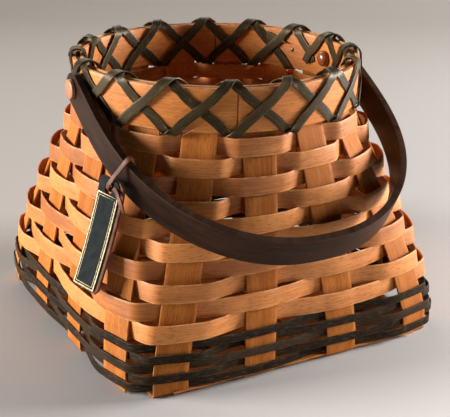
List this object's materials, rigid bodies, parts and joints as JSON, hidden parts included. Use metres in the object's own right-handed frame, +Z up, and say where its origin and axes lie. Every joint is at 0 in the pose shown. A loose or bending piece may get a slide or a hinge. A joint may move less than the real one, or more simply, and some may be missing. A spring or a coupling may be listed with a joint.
{
  "type": "egg basket",
  "caption": "Woven splint egg basket with a square base, rounded shoulders, a lashed round rim, a swinging bail handle and a leather tag.",
  "frame": {"origin": "middle of the underside of the woven base", "axes": "+Z up through the mouth; -Y is the face the handle is folded over; X runs along the handle's pivot line"},
  "size_m": [0.2871, 0.31, 0.2106],
  "materials": {
    "upright_splint": "satin stained splint",
    "weaver_splint": "satin stained splint",
    "dark_splint": "satin dark-dyed splint",
    "rim_hoop": "satin stained wood",
    "lashing_splint": "satin dark-dyed splint",
    "tack_metal": "dull metal",
    "peg_wood": "bare wood",
    "knob_wood": "polished wood",
    "handle_wood": "dark satin stain",
    "tag_leather": "dark face, brown edges",
    "thong_leather": "plain leather"
  },
  "bodies": {
    "basket": {"stake_x_1": "upright_splint", "stake_x_2": "upright_splint", "stake_x_3": "upright_splint", "stake_x_4": "upright_splint", "stake_y_1": "upright_splint", "stake_y_2": "upright_splint", "stake_y_3": "upright_splint", "stake_y_4": "upright_splint", "base_filler_x_1": "upright_splint", "base_filler_x_2": "upright_splint", "base_filler_x_3": "upright_splint", "base_filler_y_1": "upright_splint", "base_filler_y_2": "upright_splint", "base_filler_y_3": "upright_splint", "weaver_1": "weaver_splint", "weaver_2": "weaver_splint", "weaver_3": "weaver_splint", "weaver_4": "weaver_splint", "weaver_5": "weaver_splint", "weaver_6": "weaver_splint", "weaver_7": "weaver_splint", "weaver_8": "weaver_splint", "weaver_9": "weaver_splint", "weaver_10": "weaver_splint", "dark_weaver_1": "dark_splint", "dark_weaver_2": "dark_splint", "dark_weaver_3": "dark_splint", "dark_weaver_4": "dark_splint", "dark_weaver_5": "dark_splint", "rim_outer_hoop": "rim_hoop", "rim_inner_hoop": "rim_hoop", "lashing_left_1": "lashing_splint", "lashing_left_2": "lashing_splint", "lashing_right_1": "lashing_splint", "lashing_right_2": "lashing_splint", "outer_hoop_tack": "tack_metal", "inner_hoop_tack": "tack_metal", "pivot_peg_left": "peg_wood", "pivot_peg_right": "peg_wood", "peg_knob_left": "knob_wood", "peg_knob_right": "knob_wood"},
    "bail": {"handle": "handle_wood", "thong": "thong_leather"},
    "hang_tag": {"tag": "tag_leather"}
  },
  "joints": [
    {"name": "handle_swing", "type": "hinge", "parent": "basket", "child": "bail", "pos_m": [0, 0, 0.192], "axis": [-1, 0, 0], "range_deg": [0, 236]},
    {"name": "tag_swing", "type": "hinge", "parent": "bail", "child": "hang_tag", "pos_m": [-0.12199, -0.0765, 0.13881], "axis": [-0.2079, 0.9781, 0], "range_deg": [0, 20]}
  ]
}
